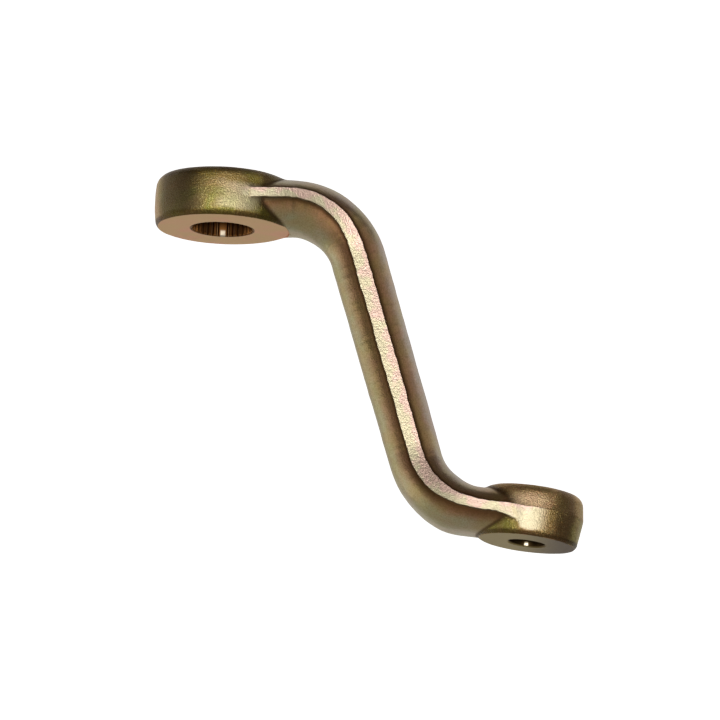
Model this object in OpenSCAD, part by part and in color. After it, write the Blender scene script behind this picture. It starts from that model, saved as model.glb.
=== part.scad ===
// Drop pitman arm: one steel forging, bent into an S, with a splined eye and a tapered eye.
// X runs from the splined eye towards the tapered eye, Z runs up along the splined bore.
// The origin is the middle of the splined eye, and Y = 0 is the plane the S lies in.

/* [Reach and drop] */
// Distance between the two bore axes along X (mm)
reach = 157; // [140:1:190]
// Height of the splined eye above the tapered eye (mm)
drop = 148; // [130:1:175]
// Centreline radius of both bends (mm)
bend_r = 35.5; // [32:0.5:42]
// Straight centreline from the splined bore axis to the first bend (mm)
big_run = 34; // [30:1:42]
// Straight centreline from the second bend to the tapered bore axis (mm)
small_run = 23; // [20:1:30]

/* [Splined eye] */
// Outside diameter at the trimmed band (mm)
big_d = 68; // [64:0.5:74]
// Height between the two machined faces (mm)
big_h = 24.4; // [22:0.2:27]
// Height of the upright band where the flash was sheared off (mm)
big_band = 9; // [6:0.5:12]
// Radius of the forged upper edge (mm)
big_round = 5; // [3:0.5:6]
// Radius of the forged lower edge (mm)
big_under = 3; // [2:0.5:4]

/* [Splined bore] */
// Diameter at the roots of the spline grooves (mm)
root_d = 32; // [30:0.5:35]
// Height of the spline teeth (mm)
tooth_h = 1.2; // [0.8:0.1:1.6]
// Spline spacings around the bore
pitches = 36; // [28:4:40]
// Wide teeth that stand in place of a groove
masters = 4; // [1:1:4]
// Width of the flat top of each tooth (mm)
tooth_land = 0.9; // [0.7:0.05:1.1]
// Bevel at both mouths of the bore (mm)
mouth_bevel = 0.8; // [0.4:0.1:1.2]

/* [Tapered eye] */
// Outside diameter at the flash line (mm)
small_d = 52.4; // [50:0.2:58]
// Lean of the tapered eye's axis towards X, in the plane of the S (degrees)
small_lean = 5; // [0:0.5:7]
// Height of the upper face above the centreline (mm)
small_up = 11; // [9.5:0.5:12.5]
// Depth of the lower face below the centreline (mm)
small_down = 14; // [13:0.5:16]
// Radius of the forged upper edge (mm)
small_round = 5; // [3:0.5:6]
// Radius of the forged lower edge (mm)
small_under = 3; // [2:0.5:4]

/* [Tapered bore] */
// Diameter of the taper at the lower face (mm)
taper_d = 18; // [14:0.5:20]
// Length over which the taper narrows by 1 mm (mm)
taper_rate = 8; // [6:0.5:12]
// Bevel at both mouths of the taper (mm)
taper_bevel = 0.75; // [0.5:0.05:1.2]

/* [Shank] */
// Thickness in the plane of the S at the splined eye (mm)
thick_big = 28.6; // [26:0.2:32]
// Thickness in the plane of the S at the tapered eye (mm)
thick_small = 25.6; // [24:0.2:28]
// Width across the S, along the straight middle (mm)
mid_w = 28.6; // [25:0.2:33]
// How far the strip lies inside the splined eye's radius where they meet (mm)
big_inset = 2.6; // [2:0.1:5]
// How far the strip lies inside the tapered eye's radius where they meet (mm)
small_inset = 1.8; // [1.2:0.1:4]
// How much the neck is drawn in above, beside the splined eye (mm)
upper_draw = 1; // [0:0.1:1.6]
// How much the neck is drawn in below, beside the splined eye (mm)
under_draw = 1; // [0:0.1:1.6]
// How much the neck is drawn in above, beside the tapered eye (mm)
nut_draw = 1; // [0:0.1:1.6]
// How much the neck is drawn in below, beside the tapered eye (mm)
small_draw = 1.7; // [0:0.1:2.2]
// Angle at which the flanks already lean in at the strip's edges (degrees)
flank_start = 22; // [10:1:30]
// How much fuller than an ellipse the splined eye's neck is below
neck_fullness = 0.8; // [0:0.1:1.2]
// How much fuller than an ellipse the tapered eye's neck is above
over_fullness = 0.5; // [0:0.1:1]
// How much fuller than an ellipse the tapered eye's neck is below
under_fullness = 0.8; // [0:0.1:1.2]

/* [Flash line] */
// Width of the sheared strip along the straight middle (mm)
flash_mid = 7; // [5:0.2:8]
// Width of the sheared strip at both necks (mm)
flash_neck = 4.7; // [3:0.1:5.4]
// How far the strip stands out from the flanks along the middle (mm)
flash_step = 0.5; // [0.3:0.05:0.8]
// How far the strip stands out in the corners beside the splined eye (mm)
big_fin = 2.4; // [1.5:0.1:4]
// How far the strip stands out in the lower corner beside the tapered eye (mm)
small_fin = 2.4; // [1.5:0.1:4]
// How far the strip's lower edge drops beside the tapered eye (mm)
flash_flare = 2.8; // [0:0.2:3.2]
// How far the strip swings to the outside of the first bend (mm)
flash_swing = 2.2; // [0:0.2:3]
// How far the strip climbs after the second bend (mm)
flash_climb = 0.3; // [0:0.1:1.6]
// How far the strip dips again beside the tapered eye (mm)
flash_dip = 1.1; // [0:0.1:2]

/* [Forging and machining] */
// Draft of the forged walls (degrees)
draft = 7; // [4:0.5:9]
// Stock that the facing cuts remove (mm)
stock = 0.8; // [0.5:0.1:1.2]
// How far the facing cuts run past the edges of the faces (mm)
face_run = 0.7; // [0.4:0.1:1]

/* [Hidden] */
$fn = 96;

gold = [0.55, 0.45, 0.27];
big_r = big_d / 2;
small_r = small_d / 2;
root_r = root_d / 2;
tip_r = root_r - tooth_h;
far = 20;

// The middle run is the straight line that touches both bend circles.
span_x = reach - big_run - small_run;
span_z = drop - 2 * bend_r;
span = norm([span_x, span_z]);
turn = atan2(span_z, span_x) + asin(2 * bend_r / span);
mid_run = sqrt(span * span - 4 * bend_r * bend_r);
arc_run = bend_r * turn * PI / 180;

// Distances along the centreline at which its five runs end.
s1 = big_run;
s2 = s1 + arc_run;
s3 = s2 + mid_run;
s4 = s3 + arc_run;
s5 = s4 + small_run;
p1 = [s1, 0];
p2 = p1 + bend_r * [sin(turn), cos(turn) - 1];
p3 = p2 + mid_run * [cos(turn), -sin(turn)];
p4 = p3 + bend_r * [sin(turn), cos(turn) - 1];

function degrees_in(s) = s / bend_r * 180 / PI;

// Slope of the centreline below the X axis at distance s.
function slope(s) =
    s <= s1 ? 0 :
    s <= s2 ? degrees_in(s - s1) :
    s <= s3 ? turn :
    s <= s4 ? turn - degrees_in(s - s3) : 0;

// Point of the centreline, as [x, z].
function centre(s) =
    s <= s1 ? [s, 0] :
    s <= s2 ? p1 + bend_r * [sin(slope(s)), cos(slope(s)) - 1] :
    s <= s3 ? p2 + (s - s2) * [cos(turn), -sin(turn)] :
    s <= s4 ? p3 + bend_r * [sin(turn) - sin(slope(s)), cos(turn) - cos(slope(s))] :
    p4 + [s - s4, 0];

// Runs evenly from 0 at a to 1 at b, with level ends.
function ease(s, a, b) = (1 - cos(180 * max(0, min(1, (s - a) / (b - a))))) / 2;

// Share of the neck shape left at distance s, for each eye.
function big_neck(s) = 1 - ease(s, big_run * 0.4, s2);
function small_neck(s) = ease(s, s3 - 8, s5 - small_r);

function half_thick(s) = (thick_big + (thick_small - thick_big) * s / s5) / 2;

// Share of the drawing-in beside the splined eye, gone by the middle of the first bend.
function drawn_in(s) = 1 - ease(s, s1 - 4, s1 + arc_run / 2);

// Thickness above and below the centreline.
function upper_thick(s) =
    half_thick(s) - upper_draw * drawn_in(s) - nut_draw * ease(s, s5 - 48, s5 - 28);
function lower_thick(s) =
    half_thick(s) - under_draw * drawn_in(s) - small_draw * ease(s, s5 - 40, s5 - 26);

function half_width(s) =
    mid_w / 2
    + (big_r - big_inset - mid_w / 2) * big_neck(s)
    + (small_r - small_inset - mid_w / 2) * small_neck(s);

// How far the strip stands out from the upper and lower flanks: most in the corners where a web of flash is left.
function upper_fin(s) = flash_step + (big_fin - flash_step) * (1 - ease(s, s1 - 12, s2));
function lower_fin(s) = upper_fin(s) + (small_fin - flash_step) * ease(s, s3 + 12, s5 - 20);

// Power of each flank's curve.
function upper_power(s) = 2 + over_fullness * small_neck(s);
function lower_power(s) = 2 + neck_fullness * big_neck(s) + under_fullness * small_neck(s);

// Half height of the strip, narrow at both necks.
function strip_necks(s) = 1 - ease(s, s1 - 6, s2) + ease(s, s3 + 10, s5 - 22);
function half_strip(s) = (flash_mid - (flash_mid - flash_neck) * strip_necks(s)) / 2;

// Drop of the strip's lower edge on the way to the tapered eye.
function flare(s) = flash_flare * ease(s, s5 - 18, s5 - 6);

// Offset of the flash strip from the centreline, towards the upper side.
function strip_rise(s) =
    let (peak = s1 + arc_run * 0.3)
    flash_swing * ease(s, 8, peak) * (1 - ease(s, peak, s2))
    + flash_climb * small_neck(s)
    - flash_dip * ease(s, s5 - 34, s5 - 6);

quarter = 9;
lean_in = sin(flank_start);

// Flank from a strip edge over the ridge to the other strip: an ellipse for power 2, fuller above that.
function flank(w, low, top, power) =
    let (
        begin = asin(pow(lean_in, power / 2)),
        full = pow(1 - pow(lean_in, power), 1 / power)
    )
    [for (i = [-quarter : quarter])
        let (
            a = 90 - (90 - begin) * abs(i) / quarter,
            out = pow(cos(a), 2 / power) / full,
            up = (pow(sin(a), 2 / power) - lean_in) / (1 - lean_in)
        )
        [-sign(i) * w * out, low + (top - low) * up]];

// Closed cross-section at distance s, as [across, up] points.
function section(s) =
    let (
        w = half_width(s),
        top = strip_rise(s) + half_strip(s),
        foot = half_strip(s) - strip_rise(s) + flare(s),
        lip = flash_step / 2
    )
    concat(
        [[w, top - lip]],
        flank(w - upper_fin(s), top, upper_thick(s), upper_power(s)),
        [[-w, top - lip], [-w, lip - foot]],
        [for (q = flank(w - lower_fin(s), foot, lower_thick(s), lower_power(s))) [-q[0], -q[1]]],
        [[w, lip - foot]]
    );

function placed(s) =
    [for (q = section(s))
        [centre(s)[0] + q[1] * sin(slope(s)), q[0], centre(s)[1] + q[1] * cos(slope(s))]];

function evenly(a, b, n) = [for (i = [0 : n - 1]) a + (b - a) * i / n];

stations = concat(
    evenly(0, s1, 8),
    evenly(s1, s2, 18),
    evenly(s2, s3, 12),
    evenly(s3, s4, 18),
    evenly(s4, s5, 6),
    [s5]
);

// Quarter-round edge of a turned profile, as [radius, height] points.
function edge(r, z, radius, from, to) =
    [for (i = [0 : 6])
        let (a = from + (to - from) * i / 6)
        [r + radius * cos(a), z + radius * sin(a)]];

function lean(z) = z * tan(draft);

// Radius of each eye's wall where an edge of the given rounding starts, at the given height of the blank.
function big_wall(height, rounding) = big_r - lean(height + stock - rounding - big_band / 2);
function small_wall(height, rounding) = small_r - lean(height + stock - rounding);

// Radius of a facing cut: the rounded edge's radius at the face, and a little more.
function facing(wall, rounding) =
    wall - rounding + sqrt(pow(rounding, 2) - pow(rounding - stock, 2)) + face_run;

module shank() {
    rings = [for (s = stations) placed(s)];
    m = len(rings[0]);
    n = len(rings);
    sides = [for (i = [0 : n - 2]) for (j = [0 : m - 1])
        let (a = i * m + j, b = i * m + (j + 1) % m)
        each [[a, a + m, b], [b, a + m, b + m]]];
    hub = n * m;
    ends = [for (j = [0 : m - 1])
        let (a = j, b = (j + 1) % m, last = (n - 1) * m)
        each [[a, b, hub], [last + b, last + a, hub + 1]]];
    hubs = [[0, 0, 0], [centre(s5)[0], 0, centre(s5)[1]]];
    polyhedron(points = concat([for (ring = rings) each ring], hubs), faces = concat(sides, ends));
}

module big_blank() {
    top = big_h / 2 + stock;
    foot = big_h / 2 + stock;
    half_band = big_band / 2;
    rim_r = big_wall(big_h / 2, big_round);
    under_r = big_wall(big_h / 2, big_under);
    rotate_extrude()
        polygon(concat(
            [[0, -foot]],
            edge(under_r - big_under, big_under - foot, big_under, -90, 0),
            [[big_r, -half_band], [big_r, half_band]],
            edge(rim_r - big_round, top - big_round, big_round, 0, 90),
            [[0, top]]
        ));
}

module small_blank() {
    top = small_up + stock;
    foot = small_down + stock;
    upper_r = small_wall(small_up, small_round);
    lower_r = small_wall(small_down, small_under);
    rotate_extrude()
        polygon(concat(
            [[0, -foot]],
            edge(lower_r - small_under, small_under - foot, small_under, -90, 0),
            [[small_r, 0]],
            edge(upper_r - small_round, top - small_round, small_round, 0, 90),
            [[0, top]]
        ));
}

// Facing cuts above and below an eye.
module faces_cut(upper_r, lower_r, up, down) {
    translate([0, 0, up])
        cylinder(r = upper_r, h = far);
    translate([0, 0, -down - far])
        cylinder(r = lower_r, h = far);
}

// Bevel that opens a bore of radius r at a face, for a bore that leaves upwards.
module mouth(r, bevel) {
    translate([0, 0, -bevel])
        cylinder(r1 = r, r2 = r + 2 * bevel, h = 2 * bevel);
}

module spline_bore() {
    step = 360 / pitches;
    open = step * PI / 180 * tip_r - tooth_land;
    root_w = max(0.2, open - 2 * tooth_h * tan(30));
    linear_extrude(height = 2 * far, center = true) {
        circle(r = tip_r);
        for (i = [0 : pitches - 1])
            if (i % (pitches / masters) != 0)
                rotate(i * step)
                    polygon([
                        [tip_r - 0.5, -open / 2],
                        [tip_r, -open / 2],
                        [root_r, -root_w / 2],
                        [root_r, root_w / 2],
                        [tip_r, open / 2],
                        [tip_r - 0.5, open / 2]
                    ]);
    }
}

module big_cuts() {
    half = big_h / 2;
    faces_cut(
        facing(big_wall(half, big_round), big_round),
        facing(big_wall(half, big_under), big_under),
        half,
        half
    );
    spline_bore();
    translate([0, 0, big_h / 2])
        mouth(tip_r, mouth_bevel);
    mirror([0, 0, 1])
        translate([0, 0, big_h / 2])
            mouth(tip_r, mouth_bevel);
}

function taper_at(z) = (taper_d - (z + small_down) / taper_rate) / 2;

module small_cuts() {
    faces_cut(
        facing(small_wall(small_up, small_round), small_round),
        facing(small_wall(small_down, small_under), small_under),
        small_up,
        small_down
    );
    translate([0, 0, -far])
        cylinder(r1 = taper_at(-far), r2 = taper_at(far), h = 2 * far);
    translate([0, 0, small_up])
        mouth(taper_at(small_up), taper_bevel);
    mirror([0, 0, 1])
        translate([0, 0, small_down])
            mouth(taper_at(-small_down), taper_bevel);
}

module at_small_eye() {
    translate([reach, 0, -drop])
        rotate([0, small_lean, 0])
            children();
}

module pitman_arm() {
    color(gold)
        difference() {
            union() {
                big_blank();
                at_small_eye()
                    small_blank();
                shank();
            }
            big_cuts();
            at_small_eye()
                small_cuts();
        }
}

pitman_arm();
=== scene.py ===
# %% [markdown]
# # A forged drop pitman arm
# The arm is one steel forging: a splined eye above, a tapered eye below, and an S-shaped shank between them.
# The CAD solid gives the sizes and the frame. This script makes the skin that a forge, a trimming press
# and a lathe leave on the real arm, and the yellow-brown plating over it.

import math

import bpy
import numpy as np
from mathutils import Matrix, Vector


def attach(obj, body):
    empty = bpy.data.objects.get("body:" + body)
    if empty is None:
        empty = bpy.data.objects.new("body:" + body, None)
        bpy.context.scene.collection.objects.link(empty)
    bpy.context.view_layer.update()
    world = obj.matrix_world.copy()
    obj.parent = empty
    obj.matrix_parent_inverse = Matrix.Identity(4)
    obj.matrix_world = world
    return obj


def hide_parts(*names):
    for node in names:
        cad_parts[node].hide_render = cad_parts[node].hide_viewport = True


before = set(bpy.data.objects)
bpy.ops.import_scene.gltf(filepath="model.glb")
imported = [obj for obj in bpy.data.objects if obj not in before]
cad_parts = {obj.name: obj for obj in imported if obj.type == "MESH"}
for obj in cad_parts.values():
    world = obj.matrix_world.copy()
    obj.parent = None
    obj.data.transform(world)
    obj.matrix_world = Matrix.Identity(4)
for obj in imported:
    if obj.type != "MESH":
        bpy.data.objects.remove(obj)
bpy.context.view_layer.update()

# %% [markdown]
# ## The centreline
# A smith bends the bar twice by the same angle, so its two ends stay level. The centreline is five runs end to
# end: straight, arc, straight, arc, straight. Adding up clipped lengths gives every point in one go, with no
# list of points.

# %% Centreline of the S, in millimetres
MM = 0.001
REACH, DROP = 157.0, 148.0
BEND_R = 35.5
BIG_RUN, SMALL_RUN = 34.0, 23.0

span_x, span_z = REACH - BIG_RUN - SMALL_RUN, DROP - 2 * BEND_R
span = math.hypot(span_x, span_z)
TURN = math.atan2(span_z, span_x) + math.asin(2 * BEND_R / span)
MID_RUN = math.sqrt(span**2 - 4 * BEND_R**2)
ARC_RUN = BEND_R * TURN
BEND1, BEND1_END = BIG_RUN, BIG_RUN + ARC_RUN
BEND2, BEND2_END = BEND1_END + MID_RUN, BEND1_END + MID_RUN + ARC_RUN
LENGTH = BEND2_END + SMALL_RUN


def centreline(s):
    """Point (x, z) and downward slope at distance s: each run adds its own length, clipped to that run."""
    first = np.clip((s - BEND1) / BEND_R, 0, TURN)
    second = np.clip((s - BEND2) / BEND_R, 0, TURN)
    middle = np.clip(s - BEND1_END, 0, MID_RUN)
    flat = np.minimum(s, BEND1) + np.maximum(s - BEND2_END, 0)
    x = flat + BEND_R * np.sin(first) + middle * np.cos(TURN)
    x = x + BEND_R * (np.sin(TURN) - np.sin(TURN - second))
    z = BEND_R * (np.cos(first) - 1) - middle * np.sin(TURN)
    z = z + BEND_R * (np.cos(TURN) - np.cos(TURN - second))
    return x, z, first - second


print("bend angle", round(math.degrees(TURN), 2), "middle run", round(MID_RUN, 2), "length", round(LENGTH, 2))

# %% [markdown]
# ## The shank's cross-section
# The shank is nearly round along its middle. At both ends it flares to the width of the eye and is drawn in above
# and below, so that the lathe can face the eye without touching the neck. Each size is a function of the distance
# along the arm, which a loft needs and which whole arrays can pass through.

# %% Widths and thicknesses along the arm
BIG_R, BIG_HALF, BIG_BAND = 34.0, 12.2, 4.5
SMALL_R, SMALL_UP, SMALL_DOWN = 26.2, 11.0, 14.0
THICK_BIG, THICK_SMALL, MID_W = 28.6, 25.6, 28.6
BIG_INSET, SMALL_INSET = 2.6, 1.8
UPPER_DRAW, UNDER_DRAW, NUT_DRAW, SMALL_DRAW = 1.0, 1.0, 1.0, 1.7
NECK_FULLNESS, OVER_FULLNESS, UNDER_FULLNESS = 0.8, 0.5, 0.8


def ease(value, start, stop):
    """0 before start, 1 after stop, and half a cosine wave between them."""
    return (1 - np.cos(np.pi * np.clip((value - start) / (stop - start), 0, 1))) / 2


def big_neck(s):
    """Share of the splined eye's width that the neck still has."""
    return 1 - ease(s, BIG_RUN * 0.4, BEND1_END)


def small_neck(s):
    """Share of the tapered eye's width that the neck already has."""
    return ease(s, BEND2 - 8, LENGTH - SMALL_R)


def half_thick(s):
    """Half thickness in the plane of the S, tapering evenly from eye to eye."""
    return (THICK_BIG + (THICK_SMALL - THICK_BIG) * s / LENGTH) / 2


def drawn_in(s):
    """Share of the drawing-in beside the splined eye, gone by the middle of the first bend."""
    return 1 - ease(s, BEND1 - 4, BEND1 + ARC_RUN / 2)


def upper_thick(s):
    """Thickness above the centreline, drawn in beside both eyes."""
    return half_thick(s) - UPPER_DRAW * drawn_in(s) - NUT_DRAW * ease(s, LENGTH - 48, LENGTH - 28)


def lower_thick(s):
    """Thickness below the centreline, drawn in beside both eyes, where the necks leave the faced sides."""
    return half_thick(s) - UNDER_DRAW * drawn_in(s) - SMALL_DRAW * ease(s, LENGTH - 40, LENGTH - 26)


def upper_power(s):
    """Power of the upper flank's curve: 2 is an ellipse, and the neck of the tapered eye is a little fuller."""
    return 2 + OVER_FULLNESS * small_neck(s)


def lower_power(s):
    """Power of the lower flank's curve: both necks are fuller than an ellipse."""
    return 2 + NECK_FULLNESS * big_neck(s) + UNDER_FULLNESS * small_neck(s)


def half_width(s):
    """Half width across the S: the middle's, plus what each neck adds."""
    big_part = (BIG_R - BIG_INSET - MID_W / 2) * big_neck(s)
    return MID_W / 2 + big_part + (SMALL_R - SMALL_INSET - MID_W / 2) * small_neck(s)


bends = np.array([0.0, BEND1, BEND1_END, BEND2, BEND2_END])
print("half widths at the bends", half_width(bends).round(1))

# %% [markdown]
# ## The flash strip
# Where the two dies met, hot steel squeezed out as flash. A press sheared it off and left a flat strip down both
# sides that stands a little proud of the flanks. Beside the eyes the strip is the edge of a thin web.

# %% The strip along the arm
FLASH_MID, FLASH_NECK, FLASH_STEP = 7.0, 4.7, 0.5
FLASH_SWING, FLASH_CLIMB, FLASH_DIP, FLASH_FLARE = 2.2, 0.3, 1.1, 2.8
BIG_FIN, SMALL_FIN = 2.4, 2.4


def upper_fin(s):
    """How far the strip stands proud of the upper flank: most beside the splined eye, where a web is left."""
    return FLASH_STEP + (BIG_FIN - FLASH_STEP) * (1 - ease(s, BEND1 - 12, BEND1_END))


def lower_fin(s):
    """How far the strip stands proud of the lower flank: a web is left there beside the tapered eye too."""
    return upper_fin(s) + (SMALL_FIN - FLASH_STEP) * ease(s, BEND2 + 12, LENGTH - 20)


def half_strip(s):
    """Half height of the flash strip: wide along the middle, narrow at both necks."""
    necks = 1 - ease(s, BEND1 - 6, BEND1_END) + ease(s, BEND2 + 10, LENGTH - 22)
    return (FLASH_MID - (FLASH_MID - FLASH_NECK) * necks) / 2


def strip_rise(s):
    """How far the strip lies above the centreline: it swings out in the first bend and dips at the lower eye."""
    peak = BEND1 + ARC_RUN * 0.3
    swing = FLASH_SWING * ease(s, 8, peak) * (1 - ease(s, peak, BEND1_END))
    return swing + FLASH_CLIMB * small_neck(s) - FLASH_DIP * ease(s, LENGTH - 34, LENGTH - 6)


def flare(s):
    """How far the strip's lower edge drops on the way to the tapered eye."""
    return FLASH_FLARE * ease(s, LENGTH - 18, LENGTH - 6)


print("half strips at the bends", half_strip(bends).round(2), "rises", strip_rise(bends).round(2))

# %% [markdown]
# ## Random but repeatable
# Forged skin is never even. A lattice of drawn numbers, blended smoothly between its corners, gives soft dents of
# any size. The draws are seeded, so every run makes the same arm.

# %% Lattice noise
LATTICE = 32


def lattice_noise(points, seed):
    """Smooth values from -1 to 1: numbers drawn on a lattice, blended over the 8 corners around each point."""
    table = np.random.default_rng(seed).uniform(-1, 1, (LATTICE, LATTICE, LATTICE))
    cell = np.floor(points).astype(int)
    blend = points - cell
    blend = blend * blend * (3 - 2 * blend)
    total = np.zeros(points.shape[:-1])
    for corner in np.ndindex(2, 2, 2):
        share = np.where(np.array(corner), blend, 1 - blend).prod(axis=-1)
        spot = (cell + corner) % LATTICE
        total = total + share * table[spot[..., 0], spot[..., 1], spot[..., 2]]
    return total


def along_noise(s, size, seed):
    """Lattice noise that changes only along the arm, with bumps of the given length."""
    return lattice_noise(np.stack([s / size, 0 * s + 0.37, 0 * s + 0.61], axis=-1), seed)


print("noise sample", lattice_noise(np.array([[0.3, 0.4, 0.5], [7.2, 1.1, 4.8]]), 1).round(3))

# %% [markdown]
# ## Distance to the forging
# Both eyes are turned shapes with draft, so that they leave the dies. Each function here returns roughly how far a
# point lies outside a form, and less than zero inside it. A smooth minimum of the three forms then gives the
# fillets that a die has wherever two forms meet.

# %% Joining two distances
def rounded_corner(a, b, radius):
    """Where two distances both bind, the corner between them becomes a quarter circle of this radius."""
    p, q = a + radius, b + radius
    return np.minimum(np.maximum(p, q), 0) + np.hypot(np.maximum(p, 0), np.maximum(q, 0)) - radius


def blended_minimum(a, b, width):
    """The lesser of two distances, pulled in by up to a quarter of width where they are nearly equal."""
    near = np.maximum(width - np.abs(a - b), 0) / width
    return np.minimum(a, b) - near * near * width / 4


print("corner of a 3 mm round", rounded_corner(0.0, 0.0, 3.0).round(3))

# %% Distance to each form
DRAFT = math.tan(math.radians(7))
STOCK = 0.8
BIG_ROUND, BIG_UNDER, SMALL_ROUND, SMALL_UNDER = 5.0, 3.0, 5.0, 3.0
LEAN = math.radians(5)
FLANK_START = math.radians(22)


def big_eye_distance(r, z):
    """An upright band of radius BIG_R, drafted above and below it, with both edges rounded."""
    wall = r - BIG_R + DRAFT * np.maximum(np.abs(z) - BIG_BAND, 0)
    body = rounded_corner(wall, z - BIG_HALF - STOCK, BIG_ROUND)
    return rounded_corner(body, -z - BIG_HALF - STOCK, BIG_UNDER)


def small_eye_distance(r, z):
    """Widest at the flash line, drafted both ways, with both edges rounded."""
    wall = r - SMALL_R + DRAFT * np.abs(z)
    body = rounded_corner(wall, z - SMALL_UP - STOCK, SMALL_ROUND)
    return rounded_corner(body, -z - SMALL_DOWN - STOCK, SMALL_UNDER)


def shank_distance(s, across, up, edge_above, edge_below):
    """Flanks that are arcs of an ellipse, leaning in at the strip's edges, and a flat strip that stands out."""
    width, rise = half_width(s), strip_rise(s)
    top, bottom = rise + edge_above, rise - edge_below
    above = (up - top) / (upper_thick(s) - top)
    below = (bottom - up) / (lower_thick(s) + bottom)
    start, power = math.sin(FLANK_START), np.where(below > above, lower_power(s), upper_power(s))
    body = width - np.where(below > above, lower_fin(s), upper_fin(s))
    height = start + (1 - start) * np.maximum(np.maximum(above, below), 0)
    out = np.abs(across) / body * (1 - start**power) ** (1 / power)
    flank = ((out**power + height**power) ** (1 / power) - 1) * half_thick(s)
    strip = np.maximum(np.abs(across) - width, np.maximum(up - top, bottom - up))
    return np.minimum(flank, strip)


def to_small_eye(x, z):
    """The point (x, z) as seen from the tapered eye: along and up its own axis, which leans towards X."""
    x, z = x - REACH, z + DROP
    return x * math.cos(LEAN) - z * math.sin(LEAN), x * math.sin(LEAN) + z * math.cos(LEAN)


print("wall of the tapered eye at its middle", round(float(small_eye_distance(SMALL_R, 0.0)), 3))

# %% Distance to the whole forging
NECK_FILLET = 1.2
HIDE_DEPTH, HIDE_RUN = 8.0, 9.0


def fan_tip(s):
    """Extra slope of the cross-sections along the last run: the last one holds the tapered eye's axis."""
    return LEAN * ease(s, BEND2_END, LENGTH - 2)


def in_section(s, across, up, edge_above, edge_below):
    """Distance to the shank at a point of the section plane at s, which may tip forward near the tapered eye."""
    tip = fan_tip(s)
    return shank_distance(s + up * np.sin(tip), across, up * np.cos(tip), edge_above, edge_below)


def forging_distance(s, across, up, edge_above, edge_below):
    """Smooth union of the two eyes and the shank, whose ends are sunk so that they stay inside the eyes."""
    x0, z0, slope = centreline(s)
    slope = slope + fan_tip(s)
    x, z = x0 + up * np.sin(slope), z0 + up * np.cos(slope)
    sunk = HIDE_DEPTH * (1 - ease(s, 0, HIDE_RUN) + ease(s, LENGTH - HIDE_RUN, LENGTH))
    shank = in_section(s, across, up, edge_above, edge_below) + sunk
    big = big_eye_distance(np.hypot(x, across), z)
    x, z = to_small_eye(x, z)
    small = small_eye_distance(np.hypot(x, across), z)
    return blended_minimum(blended_minimum(shank, big, NECK_FILLET), small, NECK_FILLET)


print("distance at the bore axis", round(float(forging_distance(0.0, 0.0, 0.0, 2.0, 2.0)), 2))

# %% [markdown]
# ## The skin as one grid
# Each cross-section is a fan of rays from the centreline. Every ray runs out until the distance is zero, found by
# halving an interval forty times for the whole grid at once. Rays are aimed so that two columns of points lie
# exactly on the ragged edges of the strip.

# %% Where the rays aim
FLANK_COLUMNS, STRIP_COLUMNS = 34, 9
EDGE_HALF, TAIL_DIP = 0.14, 1.7
RAGGED_SIZES = ((5.0, 0.30, 10), (1.7, 0.22, 30))
CROWDING = 0.45


def strip_edges(s, side):
    """Half heights of the strip above and below its middle, with the ragged edge that shearing leaves."""
    above, below = (
        sum(depth * along_noise(s, size, seed + 4 * side + edge) for size, depth, seed in RAGGED_SIZES)
        for edge in (0, 1)
    )
    calm = ease(s, 4, 18) * (1 - ease(s, LENGTH - 18, LENGTH - 4))
    dipped = half_strip(s) - TAIL_DIP * ease(s, LENGTH - 13, LENGTH - 0.5)
    return dipped + calm * above, half_strip(s) + flare(s) + calm * below


def aimed_points(s, edge_above, edge_below):
    """Points (across, up) to aim at, as columns: down the upper flank, the strip and the lower flank.

    Along a flank they follow an ellipse from the ridge to the strip. Near the eyes they crowd to its corner.
    """
    s, edge_above, edge_below = s[:, None], edge_above[:, None], edge_below[:, None]
    width, rise = half_width(s), strip_rise(s)
    top, bottom = rise + edge_above, rise - edge_below
    near_eye = np.maximum(1 - ease(s, 18, 40), ease(s, LENGTH - 36, LENGTH - 18))
    boxy = 1 - CROWDING * near_eye
    bend = np.linspace(np.pi / 2, FLANK_START, FLANK_COLUMNS)[None, :]
    level = np.linspace(1, -1, STRIP_COLUMNS)[None, :]
    out = (np.cos(bend) / math.cos(FLANK_START)) ** boxy
    out[:, 0] = 0
    lift = ((np.sin(bend) - math.sin(FLANK_START)) / (1 - math.sin(FLANK_START))) ** boxy
    over = top + EDGE_HALF + (upper_thick(s) - top - EDGE_HALF) * lift
    under = bottom - EDGE_HALF - (lower_thick(s) + bottom - EDGE_HALF) * lift
    height = np.where(level > 0, top - rise - EDGE_HALF, rise - bottom - EDGE_HALF)
    upper = np.stack([(width - upper_fin(s)) * out, over], axis=-1)
    strip = np.stack([width + 0 * level, rise + level * height], axis=-1)
    lower = np.stack([(width - lower_fin(s)) * out, under], axis=-1)[:, ::-1]
    return np.concatenate([upper, strip, lower], axis=1)


print("columns of a half fan", 2 * FLANK_COLUMNS + STRIP_COLUMNS)

# %% Rays out to the skin
ROWS = 380
LONGEST_RAY, HALVINGS = 60.0, 40


def reach_of_rays(s, aim, edge_above, edge_below):
    """End of each ray from the centreline on the skin, by halving the interval between inside and outside."""
    s, edge_above, edge_below = s[:, None], edge_above[:, None], edge_below[:, None]
    ray = aim / np.linalg.norm(aim, axis=-1, keepdims=True)
    near, far = np.zeros(ray.shape[:2]), np.full(ray.shape[:2], LONGEST_RAY)
    for _ in range(HALVINGS):
        half = (near + far) / 2
        inside = forging_distance(s, half * ray[..., 0], half * ray[..., 1], edge_above, edge_below) < 0
        near, far = np.where(inside, half, near), np.where(inside, far, half)
    return ray * near[..., None]


stations = np.linspace(0, LENGTH, ROWS)
edges = [strip_edges(stations, side) for side in (0, 1)]
halves = [reach_of_rays(stations, aimed_points(stations, *pair), *pair) for pair in edges]
COLUMNS = halves[0].shape[1]
print("rows", ROWS, "columns of each half", COLUMNS)

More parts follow.
